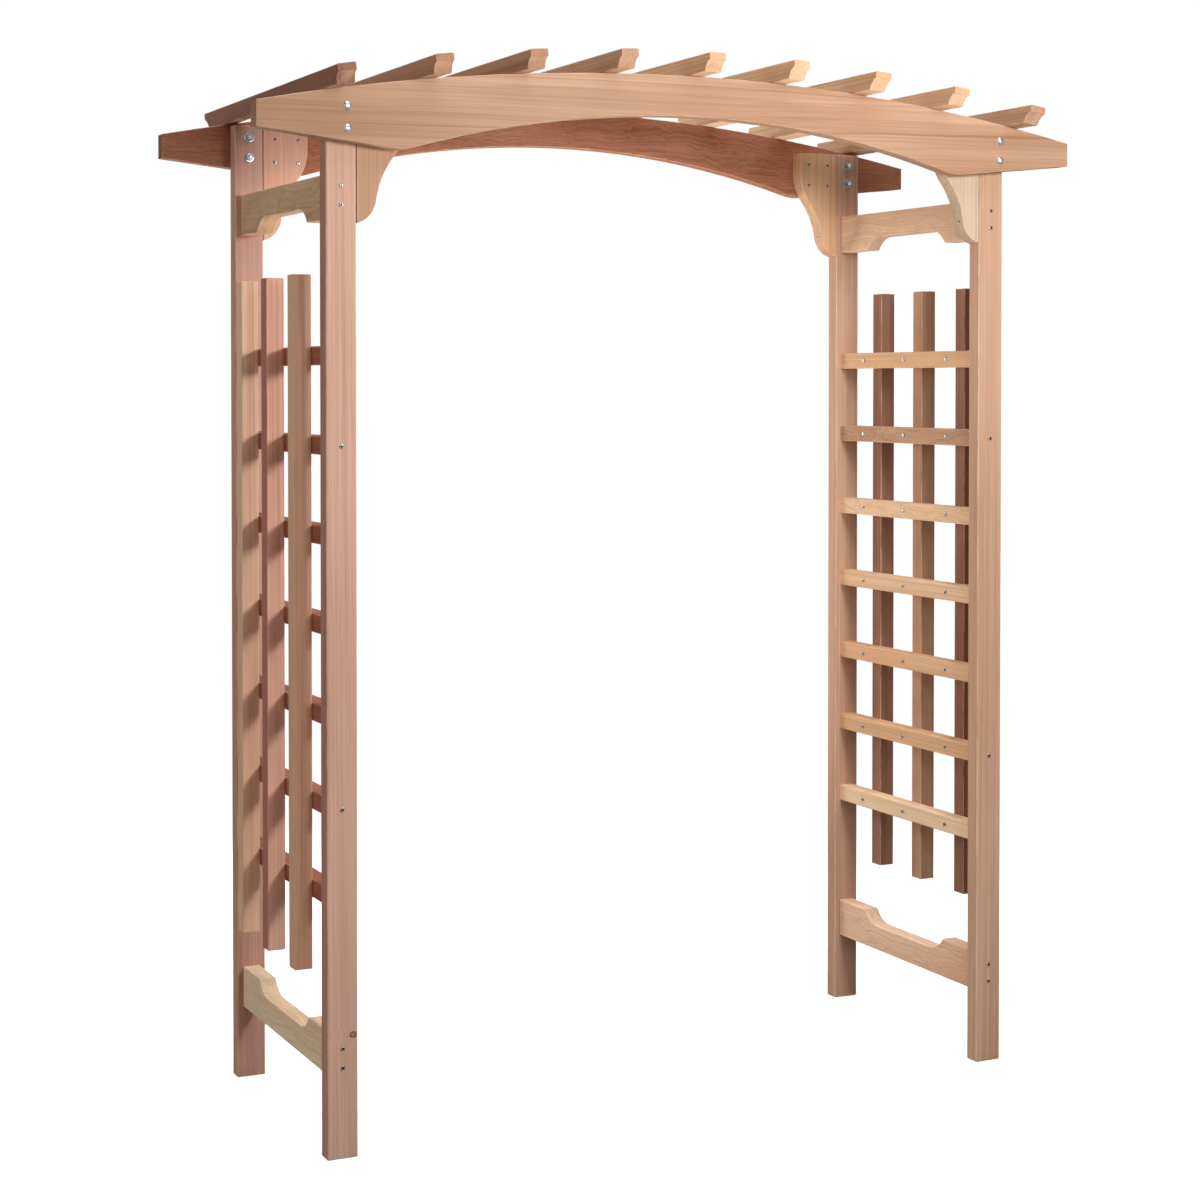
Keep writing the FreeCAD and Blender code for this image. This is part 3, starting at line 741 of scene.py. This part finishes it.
def make_deck_screw():
    """A pan-headed wood screw with a square drive and a drawn-down point."""
    head = turned_rod("head", screw_head_radius, screw_head_height, 0, 32)
    pick_edges(head, lambda a, b: a.z > screw_head_height * 0.9 and b.z > screw_head_height * 0.9)
    bpy.ops.mesh.bevel(offset=1.7 * MM, segments=5)
    bpy.ops.object.mode_set(mode="OBJECT")
    clear_bench()
    bpy.ops.mesh.primitive_cone_add(vertices=4, radius1=recess_side * 0.60, radius2=recess_side * 0.76,
                                    depth=recess_depth * 2, location=(0, 0, screw_head_height))
    punch = bpy.context.object
    bpy.ops.object.transform_apply(location=True, rotation=True, scale=True)
    cut_out(head, punch)
    shank = turned_rod("shank", screw_radius * 0.8, 0, screw_thread_top, 12)
    tip = cut_thread(shank, screw_thread_top, 2.6 * MM, 13, screw_radius * 0.66, screw_radius)
    bpy.ops.mesh.extrude_region_move(TRANSFORM_OT_translate={"value": (0, 0, -screw_length - tip)})
    bpy.ops.transform.resize(value=(0.12, 0.12, 1), center_override=(0, 0, -screw_length))
    bpy.ops.object.mode_set(mode="OBJECT")
    screw = weld([head, shank], "deck_screw")
    half = recess_side * 0.56
    # the drive recess is painted near black as painted shade
    paint(screw, screw_zinc, recess_painted_shade,
          lambda face: 0.5 * MM < face.center.z < screw_head_height - 0.03 * MM
          and face.center.xy.length < half)
    return screw


def middle(node):
    low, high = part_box(node)
    return (low + high) / 2


def fit_bolts():
    """Eight carriage bolts through the beams and posts, each with its washer and nut."""
    low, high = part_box("carriage_bolts")
    columns = (low.x + head_radius, high.x - head_radius)
    rows = (low.z + head_radius, high.z - head_radius)
    beam_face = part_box("arched_beam_rear")[1].y
    washer_low, washer_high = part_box("bolt_washers")
    nut_low, nut_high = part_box("bolt_nuts")
    washer_thickness = washer_high.y - nut_high.y
    washer_radius = washer_high.x - columns[1]
    bolt_spots, washer_spots, nut_spots = [], [], []
    for end in (-1, 1):
        outward, inward = (0, end, 0), (0, -end, 0)
        for x in columns:
            for z in rows:
                bolt_spots.append(((x, end * beam_face, z), outward))
                washer_spots.append(((x, end * washer_high.y, z), inward))
                nut_spots.append(((x, end * nut_high.y, z), inward))
    masters = []
    for master, spots, name, node in (
            (make_carriage_bolt(bolt_length), bolt_spots, "zinc_carriage_bolts", "carriage_bolts"),
            (make_washer(washer_radius, washer_thickness), washer_spots, "zinc_washers", "bolt_washers"),
            (make_hex_nut(nut_across_flats, nut_height), nut_spots, "zinc_hex_nuts", "bolt_nuts")):
        set_out(master, spots, name, node)
        masters.append(master)
    for master in masters:
        bpy.data.objects.remove(master)


def fit_screws():
    """Every deck screw, group by group, at the places the frame gives."""
    screw = make_deck_screw()
    post_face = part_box("post_rear_left")[1].y
    post_columns = (middle("post_front_left").x, middle("post_front_right").x)
    rows_of_braces = []
    for brace in ("lower_brace_left", "upper_brace_left"):
        centre = middle(brace).z
        rows_of_braces += [centre - brace_screw_step, centre + brace_screw_step]
    rows_of_rails = [middle("rail_left_2").z, middle("rail_left_6").z]
    for rows, name, node in ((rows_of_braces, "zinc_brace_screws", "brace_screws"),
                             (rows_of_rails, "zinc_rail_screws", "rail_screws")):
        set_out(screw, [((x, end * post_face, z), (0, end, 0))
                        for end in (-1, 1) for x in post_columns for z in rows], name, node)
    low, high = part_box("bracket_screws")
    inner_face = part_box("bracket_rear_left")[0].y
    outer_column = high.x - screw_head_radius
    inner_column = outer_column - bracket_columns_apart
    rows = (low.z + screw_head_radius, high.z - screw_head_radius)
    set_out(screw, [((side * x, end * inner_face, z), (0, -end, 0)) for end in (-1, 1)
                    for side in (-1, 1) for x in (inner_column, outer_column) for z in rows],
            "zinc_bracket_screws", "bracket_screws")
    low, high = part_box("bracket_toe_screws")
    toe_x, toe_y, toe_z = high.x - screw_length, high.y - screw_head_radius, (low.z + high.z) / 2
    set_out(screw, [((side * toe_x, end * toe_y, toe_z), (-side, 0, 0))
                    for end in (-1, 1) for side in (-1, 1)],
            "zinc_toe_screws", "bracket_toe_screws")
    rise = middle("rafter_5").z - middle("rafter_1").z
    reach = middle("rafter_9").x
    arch_radius = (reach ** 2 + rise ** 2) / (2 * rise)
    half_thickness = (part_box("rafter_5")[1].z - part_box("rafter_5")[0].z) / 2
    beam_line = middle("arched_beam_rear").y
    spots = []
    for number in RAFTERS:
        centre = middle(f"rafter_{number}")
        lean = math.asin(centre.x / arch_radius)
        up = Vector((math.sin(lean), 0, math.cos(lean)))
        for end in (-1, 1):
            spots.append((Vector((centre.x, end * beam_line, centre.z)) + up * half_thickness, up))
    set_out(screw, spots, "zinc_rafter_screws", "rafter_screws")
    for side, inward in zip(SIDES, (1, -1)):
        rail_low, rail_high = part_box(f"rail_{side}_1")
        face = rail_high.x if inward > 0 else rail_low.x
        spots = [((face, middle(f"slat_{side}_{slat}").y, middle(f"rail_{side}_{rail}").z), (inward, 0, 0))
                 for rail in RAILS for slat in SLATS]
        set_out(screw, spots, "zinc_slat_screws_" + side, "slat_screws_" + side)
    bpy.data.objects.remove(screw)


# ---------------------------------------------------------------- studio

FLOOR_RADIUS = 3.4
FLOOR_BOUNCE = (0.30, 0.29, 0.28, 1.0)
FLOOR_GLOW = 0.55   # how far the floor is lifted to the eye
AIR_LIGHT = 0.055   # what the air lights
AIR_SHINE = 0.45    # what the zinc mirrors


def studio_finish():
    """Matt pale paint, let go softly round its rim, that throws little light back up."""
    made = bpy.data.materials.new("studio_pale")
    made.use_nodes = True
    tree = made.node_tree
    shader = tree.nodes["Principled BSDF"]
    place = add(tree, "TexCoord").outputs["Object"]
    seen = add(tree, "LightPath").outputs["Is Camera Ray"]
    mottle = noise(tree, place, 3.0, 0.5, 1.4)
    pale = blend(tree, mottle, tone(246, 246, 246), tone(250, 250, 250))
    tree.links.new(blend(tree, seen, FLOOR_BOUNCE, pale), shader.inputs["Base Color"])
    shader.inputs["Roughness"].default_value = 0.9
    shader.inputs["Specular IOR Level"].default_value = 0.1
    shader.inputs["Emission Color"].default_value = tone(255, 255, 255)
    tree.links.new(maths(tree, "MULTIPLY", seen, FLOOR_GLOW), shader.inputs["Emission Strength"])
    out = add(tree, "VectorMath", {0: place}, operation="LENGTH").outputs["Value"]
    tree.links.new(spread(tree, out, 1.4, FLOOR_RADIUS - 0.1, 1.0, 0.0), shader.inputs["Alpha"])
    return made


def build_studio():
    """A wide round pale floor that melts into the pale air round it."""
    clear_bench()
    bpy.ops.mesh.primitive_circle_add(vertices=96, radius=FLOOR_RADIUS, fill_type="NGON",
                                      location=(0, 0, 0))
    floor = bpy.context.object
    floor.name = "studio_floor"
    pick_faces(floor, lambda face: True)
    bpy.ops.mesh.inset(thickness=0.3)
    bpy.ops.object.mode_set(mode="OBJECT")
    floor.data.materials.append(studio_finish())


def soft_box(name, place, target, width, height, power, colour=(1.0, 1.0, 1.0), throw=180):
    """A rectangular lamp turned to its target. throw is the angle it spreads over, in degrees."""
    lamp = bpy.data.lights.new(name, "AREA")
    lamp.color = colour
    lamp.spread = math.radians(throw)
    lamp.shape = "RECTANGLE"
    lamp.size = width
    lamp.size_y = height
    lamp.energy = power
    holder = bpy.data.objects.new(name, lamp)
    bpy.context.scene.collection.objects.link(holder)
    holder.location = place
    holder.rotation_euler = (Vector(target) - Vector(place)).to_track_quat("-Z", "Y").to_euler()
    holder.visible_camera = False


def light_studio():
    soft_box("key_box", (0.45, -2.25, 2.10), (0.0, 0.0, 1.7), 0.45, 0.45, 39)
    soft_box("front_fill", (-0.8, -4.0, 2.15), (0.0, 0.0, 1.5), 1.0, 1.0, 30)
    soft_box("side_fill", (-9.0, 1.0, 3.0), (0.0, 0.0, 1.3), 4.0, 4.0, 165, (1.0, 0.95, 0.88))
    soft_box("inner_box", (-0.6, 3.2, 1.6), (0.8, 0.0, 1.0), 1.2, 1.2, 70, (1.0, 0.97, 0.9))
    soft_box("right_fill", (8.0, 2.2, 3.0), (0.0, 0.0, 1.3), 4.0, 4.0, 260, (1.0, 0.97, 0.92))
    soft_box("ceiling_box", (0.0, -1.0, 5.6), (0.0, 0.0, 0.0), 6.0, 6.0, 158)
    soft_box("floor_box", (0.0, 0.1, 0.12), (0.0, 0.1, 2.0), 1.1, 0.9, 7, throw=75)
    world = bpy.data.worlds.new("studio_air")
    world.use_nodes = True
    tree = world.node_tree
    air = tree.nodes["Background"]
    air.inputs["Color"].default_value = tone(255, 255, 255)
    ray = add(tree, "LightPath").outputs
    strength = maths(tree, "MULTIPLY_ADD", ray["Is Glossy Ray"], AIR_SHINE - AIR_LIGHT, AIR_LIGHT)
    strength = maths(tree, "MAXIMUM", strength, ray["Is Camera Ray"])
    tree.links.new(strength, air.inputs["Strength"])
    bpy.context.scene.world = world
    bpy.context.scene.view_settings.view_transform = "Standard"


set_camera()
finish_boards()
fit_bolts()
fit_screws()
build_studio()
light_studio()
